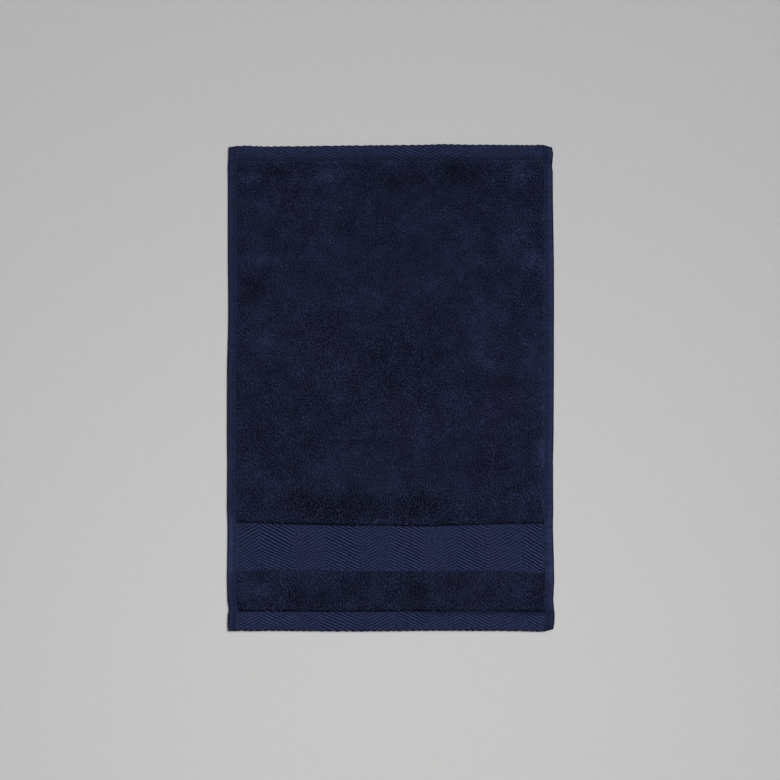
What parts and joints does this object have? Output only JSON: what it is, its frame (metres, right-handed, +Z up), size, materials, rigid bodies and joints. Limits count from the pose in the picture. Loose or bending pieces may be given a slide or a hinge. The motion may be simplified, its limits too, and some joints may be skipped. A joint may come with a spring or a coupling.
{
  "type": "hand towel",
  "caption": "Hand towel laid out flat: terry pile cloth with a low chevron-ribbed border band near one end, chevron end hems and plain side hems.",
  "frame": {"origin": "middle of the towel's underside, at the bottom centre of its box", "axes": "+X across the width, +Y along the length away from the border band, +Z up out of the upper face; the towel lies on z = 0"},
  "size_m": [0.4032, 0.6006, 0.0049],
  "materials": {
    "terry_cotton": "navy cotton terry, matt looped pile with flat-woven ribbed borders"
  },
  "bodies": {
    "root": {"towel_cloth": "terry_cotton"}
  },
  "joints": []
}
